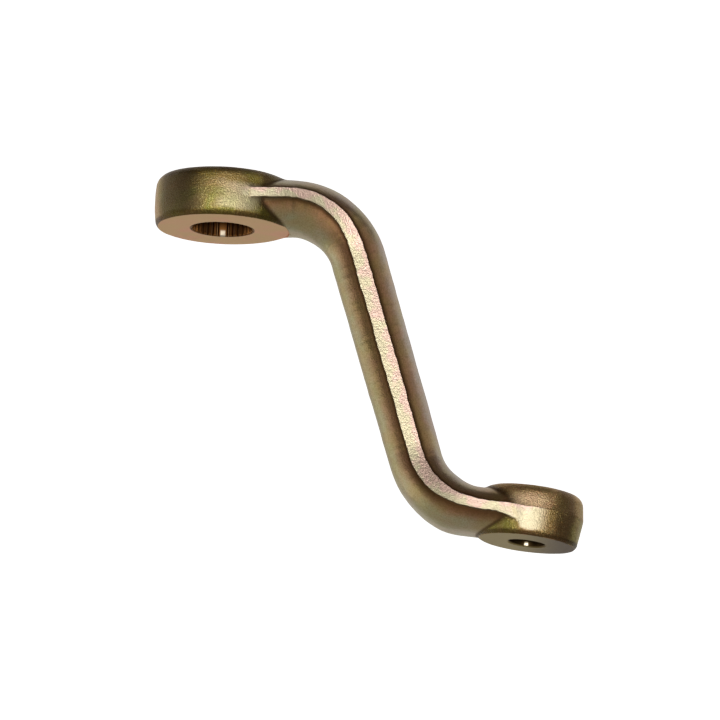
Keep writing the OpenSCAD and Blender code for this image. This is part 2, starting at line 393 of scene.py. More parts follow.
# %% [markdown]
# ## From fans of rays to a closed mesh
# The two halves of every fan close into a ring, and the rings make the shank. At each end the last half-fan is
# turned through half a circle about the bore axis. The three grids share the points where they meet, so the skin
# has no seam.

# %% Skin points
BIG_TURNS, SMALL_TURNS = 120, 96


def placed(s, half_fan, side):
    """Points of a half-fan in the row frame: out along Y on its side, up along the centreline's normal."""
    x0, z0, slope = (v[:, None] for v in centreline(s))
    slope = slope + fan_tip(s)[:, None]
    across, up = half_fan[..., 0], half_fan[..., 1]
    return np.stack([x0 + up * np.sin(slope), across * (1 - 2 * side), z0 + up * np.cos(slope)], axis=-1)


def turned(profile, start, stop, count, shift, lean=0.0):
    """The profile (radius, height) turned about an axis that leans towards X, without its first and last place."""
    angle = np.linspace(start, stop, count)[1:-1, None]
    r, z = profile[None, :, 0], profile[None, :, 1]
    x, y, z = r * np.cos(angle), r * np.sin(angle), z + 0 * angle
    x, z = x * math.cos(lean) + z * math.sin(lean), z * math.cos(lean) - x * math.sin(lean)
    return np.stack([x, y, z], axis=-1) + np.array(shift)


far_half, near_half = placed(stations, halves[0], 0), placed(stations, halves[1], 1)
rings = np.concatenate([far_half, near_half[:, -2:0:-1]], axis=1)
RING = rings.shape[1]
big_end = turned(halves[0][0], -np.pi / 2, -3 * np.pi / 2, BIG_TURNS, (0, 0, 0))[:, 1:-1]
small_end = turned(halves[0][-1], np.pi / 2, -np.pi / 2, SMALL_TURNS, (REACH, 0, -DROP), LEAN)[:, 1:-1]
points = np.concatenate([grid.reshape(-1, 3) for grid in (rings, big_end, small_end)])
print("points", len(points), "in a ring", RING)

# %% Skin faces
ring_index = np.arange(ROWS * RING).reshape(ROWS, RING)


def end_index(first_new, count, row, start_near):
    """Point numbers of a turned end: its first and last meridian and both poles belong to a ring of the shank."""
    far = ring_index[row, :COLUMNS]
    near = ring_index[row, np.r_[0, RING - 1 : COLUMNS - 2 : -1]]
    index = np.empty((count, COLUMNS), dtype=int)
    index[1:-1, 1:-1] = first_new + np.arange((count - 2) * (COLUMNS - 2)).reshape(count - 2, -1)
    index[0], index[-1] = (near, far) if start_near else (far, near)
    index[:, 0], index[:, -1] = far[0], far[-1]
    return index


def grid_faces(index):
    """Quads between neighbouring rows and columns of a grid of point numbers."""
    return np.stack([index[:-1, :-1], index[1:, :-1], index[1:, 1:], index[:-1, 1:]], axis=-1).reshape(-1, 4)


shank_faces = grid_faces(np.concatenate([ring_index, ring_index[:, :1]], axis=1))
big_index = end_index(ring_index.size, BIG_TURNS, 0, True)
small_index = end_index(ring_index.size + big_end.size // 3, SMALL_TURNS, -1, False)
quads = np.concatenate([shank_faces, grid_faces(big_index[:, 1:-1]), grid_faces(small_index[:, 1:-1])])
tops = [np.stack([i[:-1, 0], i[1:, 1], i[:-1, 1]], axis=-1) for i in (big_index, small_index)]
feet = [np.stack([i[:-1, -2], i[1:, -2], i[:-1, -1]], axis=-1) for i in (big_index, small_index)]
triangles = np.concatenate(tops + feet)
print("quads", len(quads), "triangles", len(triangles))


# %% Mesh from arrays
def mesh_object(name, points_mm, quads, triangles):
    """A mesh object at the origin from points in millimetres, written with whole arrays."""
    mesh = bpy.data.meshes.new(name)
    sizes = np.r_[np.full(len(quads), 4), np.full(len(triangles), 3)]
    mesh.vertices.add(len(points_mm))
    mesh.vertices.foreach_set("co", (points_mm * MM).astype(np.float32).ravel())
    mesh.loops.add(int(sizes.sum()))
    mesh.loops.foreach_set("vertex_index", np.r_[quads.ravel(), triangles.ravel()].astype(np.int32))
    mesh.polygons.add(len(sizes))
    mesh.polygons.foreach_set("loop_start", np.r_[0, np.cumsum(sizes)[:-1]].astype(np.int32))
    mesh.update(calc_edges=True)
    mesh.validate()
    made = bpy.data.objects.new(name, mesh)
    bpy.context.scene.collection.objects.link(made)
    return made


arm = mesh_object("forged_skin", points, quads, triangles)
print(arm.name, "faces", len(arm.data.polygons))

# %% [markdown]
# ## What each point is
# Dents and plating differ from place to place. So every point of the skin first learns where it lies: on the strip
# or a flank, above or below the strip, on the shank or on an eye's wall, and at what angle round that eye.

# %% Places on the skin
BIG_SIDE, SMALL_SIDE = 60.0, 100.0


def for_points(column):
    """Values for the columns of a half-fan, laid out for every point of the skin."""
    ends = np.tile(column[1:-1], BIG_TURNS - 2 + SMALL_TURNS - 2)
    return np.r_[np.tile(np.r_[column, column[-2:0:-1]], ROWS), ends]


def from_halves(values):
    """Values found for the two half-fans, laid out for every point of the skin, with 0 on the turned ends."""
    laid = np.zeros(len(points))
    laid[: ROWS * RING] = np.concatenate([values[0], values[1][:, -2:0:-1]], axis=1).ravel()
    return laid


def off_shank(half_fan, edge_above, edge_below):
    """How far a half-fan's points lie outside the shank alone."""
    fan = half_fan[..., 0], half_fan[..., 1]
    return in_section(stations[:, None], *fan, edge_above[:, None], edge_below[:, None])


flank_zeros, flank_ones = np.zeros(FLANK_COLUMNS), np.ones(FLANK_COLUMNS)
in_strip = for_points(np.r_[flank_zeros, np.ones(STRIP_COLUMNS), flank_zeros])
above = for_points(np.r_[flank_ones, np.zeros(STRIP_COLUMNS), flank_zeros])
level = for_points(np.r_[flank_ones, np.linspace(1, -1, STRIP_COLUMNS), -flank_ones])
on_shank = from_halves([1 - ease(off_shank(half, *pair), 0.05, 0.5) for half, pair in zip(halves, edges)])
on_strip = in_strip * on_shank
flank = on_shank * (1 - on_strip)

x, y, z = points.T
on_big, on_small = (1 - on_shank) * (x < BIG_SIDE), (1 - on_shank) * (x > SMALL_SIDE)
big_radius = np.hypot(x, y)
big_angle = np.degrees(np.arctan2(x, np.abs(y)))
small_x, small_z = to_small_eye(x, z)
small_radius = np.hypot(small_x, y)
small_angle = np.degrees(np.arctan2(small_x, np.abs(y)))
print("points on the strip", int(on_strip.sum()), "on the eyes", int(on_big.sum()), int(on_small.sum()))

# %% [markdown]
# ## Bright metal and painted highlight
# The trimming press shears the strip clean, and it scrapes part of each eye's wall as well. Fresh metal under the
# plating shines more than forged skin. The press stops at no straight line, so a soft noise moves every border.
# The same share carries painted highlight too: the splined eye's scraped band grows brighter towards the strip,
# and a narrow gleam low on that wall is a painted highlight.
# Angles are in degrees from straight across the arm, heights in millimetres from the eye's middle.

# %% Sheared places and painted highlight
WALL_DEPTH, RAGGED = 3.2, 0.6
WANDER_SIZE, WANDER_SEED = 6.0, 71


def between(value, start, full, fade, gone):
    """0 before start, 1 from full to fade, and 0 again after gone."""
    return ease(value, start, full) * (1 - ease(value, fade, gone))


def wall_share(r, height, radius, low, high):
    """1 on an eye's wall between two heights, 0 off the wall, with soft ends of about a millimetre."""
    on_wall = np.abs(r - radius) < WALL_DEPTH
    return on_wall * between(height, low - RAGGED, low + RAGGED, high - RAGGED, high + RAGGED)


wander = lattice_noise(points / WANDER_SIZE, WANDER_SEED)

# Splined eye: a scraped band, partly painted highlight where it brightens towards the strip, the first few
# millimetres of the strip, and a gleam low on the wall that is a painted highlight.
band_top = np.clip(3.0 + 0.12 * (20 - big_angle), 3, 9) + wander
big_band = wall_share(big_radius, z, BIG_R, -9.0 + wander, band_top)
big_band = big_band * (0.05 + 0.45 * ease(big_angle, -12, 18)) * (1 - ease(big_angle, 22 + 4 * wander, 36))
strip_start = 0.85 * between(big_angle, 4 + 6 * wander, 22, 40, 50)
strip_start = strip_start * (1 - ease(np.abs(z), 1.4 + 0.5 * wander, 3.4 + 0.5 * wander))
gleam = 0.45 * between(big_angle, -12 + 5 * wander, 4, 14, 28) * (1 - ease(np.abs(z + 6.2), 1.2, 3.2))

# Tapered eye: the trimmed front below the strip, and a faint shoulder above it.
strip_foot = float(strip_rise(LENGTH) - half_strip(LENGTH)) - FLASH_FLARE
left_edge = -18 + 6 * ease(strip_foot - small_z, 0, 5) - 80 * in_strip + 2 * wander
trimmed = between(small_angle, left_edge - 2, left_edge + 2, -2 + 6 * wander, 24) * (1 - above)
trimmed = trimmed * wall_share(small_radius, small_z, SMALL_R - 0.6, -11.0 + wander, SMALL_UP)
shoulder = 0.25 * above * between(small_angle, -35, -12, 4 + 6 * wander, 30) * (1 - ease(small_z, 4, 9))

on_big_wall = on_big * np.maximum.reduce([big_band, strip_start, gleam])
sheared = np.maximum.reduce([on_strip, on_big_wall, on_small * np.maximum(trimmed, shoulder)])
print("share of points that are sheared", sheared.mean().round(3))

# %% [markdown]
# ## Dents
# Scale and worn dies leave soft dents on forged skin, and a low ledge where the trimmed part of the tapered eye
# begins. Dents only go inwards, along the normals, so the arm keeps its CAD size. The strip has few of them.

# %% Dents and the ledge beside the tapered eye
DENT_SIZES = ((13.0, 0.22), (4.6, 0.12), (1.9, 0.06))
DENT_SEED, STRIP_CALM, LEDGE = 50, 0.7, 0.45

normals = np.empty(len(points) * 3, dtype=np.float32)
arm.data.vertex_normals.foreach_get("vector", normals)
normals = normals.reshape(-1, 3)
dents = np.zeros(len(points))
for i, (size, depth) in enumerate(DENT_SIZES):
    dents = dents + depth * (0.5 + 0.5 * lattice_noise(points / size, DENT_SEED + i))
dents = dents * (1 - STRIP_CALM * on_strip)

crease = float(strip_rise(LENGTH) + half_strip(LENGTH)) - TAIL_DIP
wall_gap = np.abs(small_radius - SMALL_R + DRAFT * np.abs(small_z))
ledge = above * (1 - ease(wall_gap, 0.8, 2.0)) * (1 - ease(small_z, crease + 1, crease + 6))
dents = dents + LEDGE * ledge * between(small_angle, -40, -10, 5, 50)
dented = points - normals * dents[:, None]
arm.data.vertices.foreach_set("co", (dented * MM).astype(np.float32).ravel())
print("deepest dent in mm", dents.max().round(3))

# %% [markdown]
# ## Dark corners and olive sides
# Corners, lower edges, the splined eye's outer end and top rim and the ends of both walls are browned as painted
# shade. Faces that turn away from the strip turn olive, and on the flanks also lighter as a painted reflection of
# the light rim. Each share is kept as an attribute of the points, and the material reads it later.

# %% Corners
OFF_STRIP = 0.05


def corner_share(half_fan, edge_above, edge_below):
    """Painted shade: 1 in the corners where a flank meets the strip or an eye's wall, fading to 0 a few
    millimetres away.
    """
    s, across, up = stations[:, None], half_fan[..., 0], half_fan[..., 1]
    shank = off_shank(half_fan, edge_above, edge_below)
    x_fan, _, z_fan = np.moveaxis(placed(stations, half_fan, 0), -1, 0)
    x_small, z_small = to_small_eye(x_fan, z_fan)
    big = big_eye_distance(np.hypot(x_fan, across), z_fan)
    small = small_eye_distance(np.hypot(x_small, across), z_small)
    valley = 1 - ease(np.maximum(shank, np.minimum(big, small)), 0.1, 1.6)
    wide = 2.6 + 5.0 * small_neck(s) + 1.5 * big_neck(s)
    over, under = up - strip_rise(s) - edge_above[:, None], strip_rise(s) - edge_below[:, None] - up
    beside = (1 - ease(over, 0.3, 2.6)) * (over > OFF_STRIP) + (1 - ease(under, 0.3, wide)) * (under > OFF_STRIP)
    return np.maximum(valley * (np.maximum(over, under) > OFF_STRIP), beside * (shank < 0.5))


corners = from_halves([corner_share(half, *pair) for half, pair in zip(halves, edges)])
print("share of points in corners", corners.mean().round(3))

# %% Dark and olive places
# Painted shade: both lower edges, the splined eye's outer end and rim, and the ends of both walls.
lower_edges = np.maximum(on_big * ease(-dented[:, 2], 9.2, 10.6), on_small * ease(-small_z, 11, 12.6))
outer = np.maximum(between(-big_angle, 8 + 5 * wander, 32, 56, 76), ease(dented[:, 2], 8, 12))
inner_ends = on_big * ease(big_angle, 26 + 4 * wander, 40)
eye_end = on_small * between(small_angle, 22 + 4 * wander, 36, 48, 62)
dark = [0.9 * lower_edges, 0.9 * on_big * outer, 0.8 * inner_ends, 0.65 * eye_end, corners]
dark = np.maximum.reduce(dark) * (1 - sheared)

# Olive film, and on the flanks a lighter, greyer rim colour that is a painted reflection of the light rim:
# whatever faces away from the strip's side, then each eye's wall by angle.
away = ease(1 - np.abs(normals[:, 1]), 0.05, 0.5) * (1 - 0.6 * ease(x, 120, 145))
away_big = 0.8 + 0.2 * wander - 0.55 * ease(-big_angle, 55, 75)
away_small = np.where(above > 0, 0.15, 0.8 - 0.6 * ease(small_angle, -30, 0)) + 0.5 * ease(small_angle, 45, 65)
away = away + on_big * (away_big - away)
away = away + on_small * (away_small - away)

PLACES = {"sheared": sheared, "away": away, "level": level, "flank": flank, "dark": dark}
for name, values in PLACES.items():
    layer = arm.data.attributes.new(name, "FLOAT", "POINT")
    layer.data.foreach_set("value", values.astype(np.float32))
arm.data.update()
print("attributes", list(PLACES), "mean dark share", dark.mean().round(3))

# %% [markdown]
# ## Machining
# A lathe faces both eyes, a broach cuts the spline and a taper reamer opens the lower hole. Cutters made as
# closed solids of turned profiles do the same here with a Boolean difference, and they leave their own material
# on the cut.

# %% Solids for cutting
TURN_SIDES = 144


def loft(name, radii, angles, heights, shift, lean=0.0):
    """A closed solid: for each height a ring at the given radii and angles, capped by a fan at both ends."""
    across, around = radii * np.cos(angles), radii * np.sin(angles)
    wall = np.stack([across, around, heights[:, None] + 0 * across], axis=-1).reshape(-1, 3)
    ends = np.array([[0, 0, heights[0]], [0, 0, heights[-1]]])
    count = radii.shape[1]
    index = np.arange(len(wall)).reshape(-1, count)
    index = np.concatenate([index, index[:, :1]], axis=1)
    low = np.stack([index[0, 1:], index[0, :-1], np.full(count, len(wall))], axis=-1)
    high = np.stack([index[-1, :-1], index[-1, 1:], np.full(count, len(wall) + 1)], axis=-1)
    cosine, sine = math.cos(lean), math.sin(lean)
    leaning = np.concatenate([wall, ends]) @ np.array([[cosine, 0, -sine], [0, 1, 0], [sine, 0, cosine]])
    return mesh_object(name, leaning + np.array(shift), grid_faces(index)[:, ::-1], np.concatenate([low, high]))


def turned_solid(name, profile, shift=(0, 0, 0), count=TURN_SIDES, lean=0.0):
    """A loft with round rings: profile is a list of (height, radius)."""
    heights, radii = np.array(profile, dtype=float).T
    angles = np.linspace(0, 2 * np.pi, count, endpoint=False)[None, :] + 0 * radii[:, None]
    return loft(name, radii[:, None] + 0 * angles, angles, heights, shift, lean)


def small_cutter(name, profile):
    """A turned cutter on the tapered bore's leaning axis."""
    return turned_solid(name, profile, (REACH, 0, -DROP), lean=LEAN)


print("sides of a turned cutter", TURN_SIDES)

# %% Sizes of the cuts
TIP_R, ROOT_R, TOOTH_LAND, PITCHES, MASTERS = 14.8, 16.0, 0.9, 36, 4
TOOTH_SIDE = math.radians(30)
TAPER_R, TAPER_RATE = 9.0, 8.0
FACE_RUN = 0.7


def spline_outline():
    """Radii and angles round the broached bore: each pitch opens from tip to root, but not at the wide teeth."""
    pitch = 2 * np.pi / PITCHES
    opening = pitch * TIP_R - TOOTH_LAND
    root = opening - 2 * (ROOT_R - TIP_R) * math.tan(TOOTH_SIDE)
    half_open, half_root = opening / 2 / TIP_R, root / 2 / ROOT_R
    corner = np.array([-half_open, -half_root, half_root, half_open])
    wide = np.arange(PITCHES) % (PITCHES // MASTERS) == 0
    radii = np.where(wide[:, None], TIP_R, np.array([TIP_R, ROOT_R, ROOT_R, TIP_R])[None, :])
    return radii.reshape(1, -1), ((np.arange(PITCHES) * pitch)[:, None] + corner[None, :]).reshape(1, -1)


def face_radius(eye_radius, upright, height, rounding):
    """Radius of a facing cut: that of the rounded edge where the face meets it, and a little more."""
    wall = eye_radius - DRAFT * (height + STOCK - rounding - upright)
    return wall - rounding + math.sqrt(rounding**2 - (rounding - STOCK) ** 2) + FACE_RUN


def taper_at(height):
    """Radius of the tapered hole at a height above the tapered eye's middle."""
    return TAPER_R - (height + SMALL_DOWN) / TAPER_RATE / 2


big_faces = [face_radius(BIG_R, BIG_BAND, BIG_HALF, r) for r in (BIG_ROUND, BIG_UNDER)]
small_faces = [face_radius(SMALL_R, 0, SMALL_UP, SMALL_ROUND), face_radius(SMALL_R, 0, SMALL_DOWN, SMALL_UNDER)]
bore_radii, bore_angles = (np.repeat(row, 2, axis=0) for row in spline_outline())
print("faced radii", np.round(big_faces + small_faces, 2), "hole above", round(taper_at(SMALL_UP), 2))

# %% Cutters
FAR = 20.0
MOUTH, BEVEL = TIP_R + 0.8, 0.75
MOUTH_SPAN, BEVEL_SPAN = (-2, 2), (-3, 3)  # how far a bevelling cone goes below and above its face

cutters = [
    turned_solid("upper_facing", [(h, big_faces[0]) for h in (BIG_HALF, FAR)]),
    turned_solid("lower_facing", [(h, big_faces[1]) for h in (-FAR, -BIG_HALF)]),
    loft("broach", bore_radii, bore_angles, np.array([-FAR, FAR]), (0, 0, 0)),
    turned_solid("upper_mouth", [(BIG_HALF + h, MOUTH + h) for h in MOUTH_SPAN]),
    turned_solid("lower_mouth", [(h - BIG_HALF, MOUTH - h) for h in MOUTH_SPAN]),
    small_cutter("nut_facing", [(h, small_faces[0]) for h in (SMALL_UP, FAR)]),
    small_cutter("stud_facing", [(h, small_faces[1]) for h in (-FAR, -SMALL_DOWN)]),
    small_cutter("reamer", [(h, taper_at(h)) for h in (-FAR, FAR)]),
    small_cutter("nut_bevel", [(SMALL_UP + h, taper_at(SMALL_UP) + BEVEL + h) for h in BEVEL_SPAN]),
    small_cutter("stud_bevel", [(h - SMALL_DOWN, TAPER_R + BEVEL - h) for h in BEVEL_SPAN]),
]
print("cutters", [c.name for c in cutters])

# %% [markdown]
# ## Shader maths in Python
# A node tree is arithmetic on fields of values. Wrapping an output socket in a small class lets the recipe be
# written as ordinary sums and products, and each of them adds the matching node.

# %% Field class
# Sockets of a Mix node that is set to colours.
COLOUR_FACTOR, COLOUR_A, COLOUR_B, COLOUR_RESULT = 0, 6, 7, 2


class Field:
    """An output socket of a node tree. Arithmetic on it adds Math nodes; node() adds any other kind."""

    def __init__(self, tree, socket=None):
        self.tree, self.socket = tree, socket

    def node(self, kind, settings=(), inputs=(), output=0):
        """Adds a node of this kind, sets it up, fills or links its inputs, and gives one of its outputs."""
        made = self.tree.nodes.new(kind)
        for name, value in dict(settings).items():
            setattr(made, name, value)
        for name, value in dict(inputs).items():
            if isinstance(value, Field):
                self.tree.links.new(value.socket, made.inputs[name])
            else:
                made.inputs[name].default_value = value
        return Field(self.tree, made.outputs[output]) if len(made.outputs) else made

    def maths(self, operation, *values):
        """A Math node of this operation on the values given."""
        return self.node("ShaderNodeMath", {"operation": operation}, enumerate(values))

    def __add__(self, other):
        return self.maths("ADD", self, other)

    def __sub__(self, other):
        return self.maths("SUBTRACT", self, other)

    def __rsub__(self, other):
        return self.maths("SUBTRACT", other, self)

    def __mul__(self, other):
        return self.maths("MULTIPLY", self, other)

    def __truediv__(self, other):
        return self.maths("DIVIDE", self, other)

    def __rtruediv__(self, other):
        return self.maths("DIVIDE", other, self)

    def __pow__(self, other):
        return self.maths("POWER", self, other)

    __radd__, __rmul__ = __add__, __mul__

    def ramp(self, low, high):
        """0 at low, 1 at high, smooth between."""
        ends = {"Value": self, "From Min": low, "From Max": high}
        return self.node("ShaderNodeMapRange", {"interpolation_type": "SMOOTHSTEP"}, ends)

    def attribute(self, name):
        """An attribute of the points, as kept on the mesh."""
        return self.node("ShaderNodeAttribute", {"attribute_name": name}, output="Fac")

    def noise(self, place, scale, detail):
        """Noise texture on the coordinates given, with this many features to the metre."""
        return self.node("ShaderNodeTexNoise", (), {"Vector": place, "Scale": scale, "Detail": detail})

    def mix(self, share, first, second):
        """Colour from first to second by share."""
        inputs = {COLOUR_FACTOR: share, COLOUR_A: first, COLOUR_B: second}
        return self.node("ShaderNodeMix", {"data_type": "RGBA"}, inputs, COLOUR_RESULT)


print("field operators", [name for name in vars(Field) if name.startswith("__r") and name.endswith("__")])


# %% Material helpers
def new_material(name):
    """An empty material, and a Field to build it with."""
    material = bpy.data.materials.new(name)
    material.use_nodes = True
    material.node_tree.nodes.clear()
    return material, Field(material.node_tree)


def shaded(material, f, inputs):
    """The material, ended with one Principled shader that takes these inputs."""
    shader = f.node("ShaderNodeBsdfPrincipled", (), inputs)
    f.node("ShaderNodeOutputMaterial", (), {"Surface": shader})
    return material


def colour(red, green, blue):
    """Linear colour from the 0 to 255 values that a screen shows."""
    return tuple((v / 255) ** 2.2 for v in (red, green, blue)) + (1.0,)


print("mid grey in linear values", np.round(colour(128, 128, 128), 3))

# %% [markdown]
# ## Yellow plating on the forged skin
# The arm is zinc plated and dipped in yellow chromate, a film so thin that it shifts from gold to olive and pink.
# Patches, blush and specks are noises of three sizes over one base colour, and the attributes say where it turns
# olive, lighter at the flanks' rims as painted reflection, brown as painted shade, and bright on sheared metal and
# a painted highlight. A grain of less than a millimetre in the bump breaks up the reflections.

# %% Plating on forged skin
GOLD_BROWN, PATCH_OLIVE, BLUSH_PINK = colour(170, 123, 88), colour(160, 148, 84), colour(186, 132, 104)
# Rim colours: olive film, made lighter and greyer as a painted reflection of the light rim.
RIM_OLIVE, RIM_GREY = colour(166, 158, 126), colour(158, 145, 134)
EYE_GREEN, EYE_GOLD = colour(152, 153, 64), colour(164, 142, 68)
# The shade brown is painted shade on corners, lower edges, the splined eye's outer end and rim and the wall ends.
SPECK_BROWN, SPARKLE_GOLD, PAINTED_SHADE_BROWN = colour(124, 104, 48), colour(232, 218, 150), colour(60, 39, 19)
STRIP_CREAM, STRIP_PINK, STRIP_SPECK = colour(226, 214, 178), colour(238, 204, 186), colour(182, 154, 116)
METAL, GRAIN_HEIGHT = 0.95, 0.0005


def plated_skin():
    """Gold-brown film with olive and pink, painted shade and a painted rim reflection on forged skin, and cream on
    sheared metal and painted highlight.
    """
    material, f = new_material("plated_skin")
    place = f.node("ShaderNodeTexCoord", output="Object")
    strip, away, level, flank, dark = (f.attribute(name) for name in PLACES)
    patches = f.noise(place, 60.0, 3.0).ramp(0.38, 0.64)
    blush = f.noise(place, 110.0, 2.0).ramp(0.42, 0.62)
    specks = f.noise(place, 1500.0, 2.0).ramp(0.42, 0.62)
    sparkle = f.noise(place, 2600.0, 1.0).ramp(0.56, 0.70)
    grain = f.noise(place, 1500.0, 3.0)

    # On the flanks the turned-away colour is partly a painted reflection of the light rim.
    turned_away = f.mix(flank, f.mix(level, EYE_GREEN, EYE_GOLD), f.mix(level, RIM_OLIVE, RIM_GREY))
    forged = f.mix(away, GOLD_BROWN, turned_away)
    forged = f.mix(patches * 0.4, forged, PATCH_OLIVE)
    forged = f.mix(blush * (0.3 - 0.12 * flank), forged, BLUSH_PINK)
    forged = f.mix(specks * 0.35, forged, SPECK_BROWN)
    forged = f.mix(sparkle * (0.6 - 0.6 * flank), forged, SPARKLE_GOLD)
    # Painted shade in corners, along lower edges, at the splined eye's outer end and rim and at the ends of the
    # walls.
    forged = f.mix(dark * 0.9, forged, PAINTED_SHADE_BROWN)
    tint = (f.noise(place, 140.0, 2.0) + 0.14 * level).ramp(0.40, 0.60)
    # The bright share is sheared metal, and on the splined eye's wall also painted highlight.
    bright = f.mix(specks * 0.13, f.mix(tint * strip, STRIP_CREAM, STRIP_PINK), STRIP_SPECK)

    height = grain * (1 - 0.8 * flank - 0.45 * strip) + 0.35 * strip * f.noise(place, 800.0, 2.0)
    bump = {"Strength": 1.0, "Distance": GRAIN_HEIGHT, "Height": height}
    inputs = {
        "Base Color": f.mix(strip, forged, bright),
        "Metallic": METAL,
        "Roughness": 0.28 + 0.1 * grain + 0.16 * strip + 0.3 * dark * flank,
        "Normal": f.node("ShaderNodeBump", (), bump, "Normal"),
        "Specular Tint": (0.86, 0.84, 0.82, 1),
    }
    return shaded(material, f, inputs)


skin_finish = plated_skin()
print("material", skin_finish.name, "nodes", len(skin_finish.node_tree.nodes))

# %% [markdown]
# ## Yellow plating on machined metal
# Turned and broached faces take the same film more evenly, as a pinkish tan, darker on the lower eye. The bore's
# brown, its darker grooves and the dark tapered hole are painted shade of the recesses. Two glints, at the lower
# end of a wide tooth and low in the tapered hole, are painted as brighter film by place, because soft panels can't
# draw anything so small.

# %% Plating on machined metal
FACE_TAN, FACE_PINK = colour(200, 162, 116), colour(208, 154, 122)
LOWER_OLIVE, LOWER_BROWN = colour(142, 126, 82), colour(56, 34, 20)
# Bore, groove and hole browns are painted shade; the two glints are painted highlights.
BORE_BROWN, GROOVE_BROWN, TOOTH_GLINT = colour(136, 92, 50), colour(70, 44, 22), colour(244, 228, 200)
HOLE_BROWN, HOLE_GLINT = colour(66, 48, 28), colour(250, 236, 206)


def plated_machined():
    """Tan film, mixed by place with the lower eye's olive, the painted shade of the bore, its grooves and the
    tapered hole, and the glints in both bores.
    """
    material, f = new_material("plated_machined")
    place = f.node("ShaderNodeTexCoord", output="Object")
    x, y, z = (f.node("ShaderNodeSeparateXYZ", (), {"Vector": place}, axis) / MM for axis in "XYZ")
    x_eye, z_eye = to_small_eye(x, z)
    far_end = x_eye.ramp(-9, 21) * (1 - z_eye.ramp(1 - SMALL_DOWN, 6 - SMALL_DOWN))
    blush = f.noise(place, 60.0, 2.0).ramp(0.4, 0.65)
    base = f.mix(blush, FACE_TAN, FACE_PINK)
    base = f.mix(x.ramp(80, 130), base, f.mix(far_end, LOWER_OLIVE, LOWER_BROWN))

    # Painted shade: the bore browner, its grooves darker.
    radius = (x * x + y * y) ** 0.5
    bore = 1 - radius.ramp(TIP_R + 0.9, ROOT_R + 0.2)
    groove = bore * radius.ramp(TIP_R + 0.1, TIP_R + 0.6)
    glint = (1 - (x * x).ramp(0.9, 2.0)) * (1 - z.ramp(2.2 - BIG_HALF, 3.6 - BIG_HALF))
    base = f.mix(bore, base, f.mix(glint, BORE_BROWN, TOOTH_GLINT))
    base = f.mix(groove * 0.6, base, GROOVE_BROWN)

    # Painted shade in the tapered hole, and a painted highlight low in it.
    radius = (x_eye * x_eye + y * y) ** 0.5
    hole = 1 - (radius - taper_at(z_eye)).ramp(0.1, 0.5)
    glint = (1 - (x_eye * x_eye).ramp(0.1, 1.5)) * (1 - z_eye.ramp(1.3 - SMALL_DOWN, 2.8 - SMALL_DOWN))
    inputs = {
        "Base Color": f.mix(hole * 0.9, base, f.mix(glint, HOLE_BROWN, HOLE_GLINT)),
        "Metallic": METAL,
        "Roughness": 0.36 + 0.1 * f.noise(place, 900.0, 2.0),
        "Specular Tint": (0.85, 0.8, 0.7, 1),
    }
    return shaded(material, f, inputs)


machined_finish = plated_machined()
print("material", machined_finish.name, "nodes", len(machined_finish.node_tree.nodes))

# %% [markdown]
# ## Cutting
# The Boolean modifiers run in the order of the shop: faces first, then bores, then bevels. The result is kept as a
# plain mesh, and the cutters go. Edges where two finishes meet are marked sharp, so that each face shades flat up
# to its rim.

# %% Cut the machined faces
arm.data.materials.append(skin_finish)
for cutter in cutters:
    cutter.data.materials.append(machined_finish)
    cut = arm.modifiers.new(cutter.name, "BOOLEAN")
    cut.operation, cut.solver, cut.object = "DIFFERENCE", "MANIFOLD", cutter
    cut.material_mode = "TRANSFER"
finished = bpy.data.meshes.new_from_object(arm.evaluated_get(bpy.context.evaluated_depsgraph_get()))
arm.modifiers.clear()
arm.data = finished
arm.name = "forged_arm"
for cutter in cutters:
    bpy.data.objects.remove(cutter)
print("faces after cutting", len(finished.polygons), "materials", [m.name for m in finished.materials])

# %% Sharp edges
SHARP_ANGLE = math.radians(38)

finished.shade_smooth()
finished.set_sharp_from_angle(angle=SHARP_ANGLE)
edge_of_loop = np.empty(len(finished.loops), dtype=np.int32)
finish_of_face, loops_of_face = np.empty((2, len(finished.polygons)), dtype=np.int32)
finished.loops.foreach_get("edge_index", edge_of_loop)
finished.polygons.foreach_get("material_index", finish_of_face)
finished.polygons.foreach_get("loop_total", loops_of_face)
finish_of_loop = np.repeat(finish_of_face, loops_of_face)
least, most = np.full(len(finished.edges), len(finished.materials)), np.full(len(finished.edges), -1)
np.minimum.at(least, edge_of_loop, finish_of_loop)
np.maximum.at(most, edge_of_loop, finish_of_loop)
sharp = np.empty(len(finished.edges), dtype=bool)
finished.edges.foreach_get("use_edge_sharp", sharp)
finished.edges.foreach_set("use_edge_sharp", sharp | (least != most))
finished.calc_loop_triangles()
print("arm triangles", len(finished.loop_triangles), "sharp edges", int((sharp | (least != most)).sum()))

# %% Tie the piece to the frame
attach(arm, "root")
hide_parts("pitman_arm")
print(arm.name, "stands for the CAD solid")

# %% [markdown]
# ## Camera
# The photograph was taken from about 12 degrees below, from far off, with the arm rolled slightly in the frame.
# The lens and place here put the bore axis and both eyes on the same pixels.

# %% Camera
ELEVATION, ROLL, LENS, SENSOR = math.radians(12), math.radians(2.65), 275.0, 36.0
CAMERA_PLACE, CLIP_END = (0.0707, -2.6346, -0.6346), 60

view = np.array([0, math.cos(ELEVATION), math.sin(ELEVATION)])
level_up = np.array([0, -math.sin(ELEVATION), math.cos(ELEVATION)])
level_right = np.array([1.0, 0, 0])
turn = np.eye(4)
turn[:3, 0] = math.cos(ROLL) * level_right + math.sin(ROLL) * level_up
turn[:3, 1] = math.cos(ROLL) * level_up - math.sin(ROLL) * level_right
turn[:3, 2] = -view
turn[:3, 3] = CAMERA_PLACE

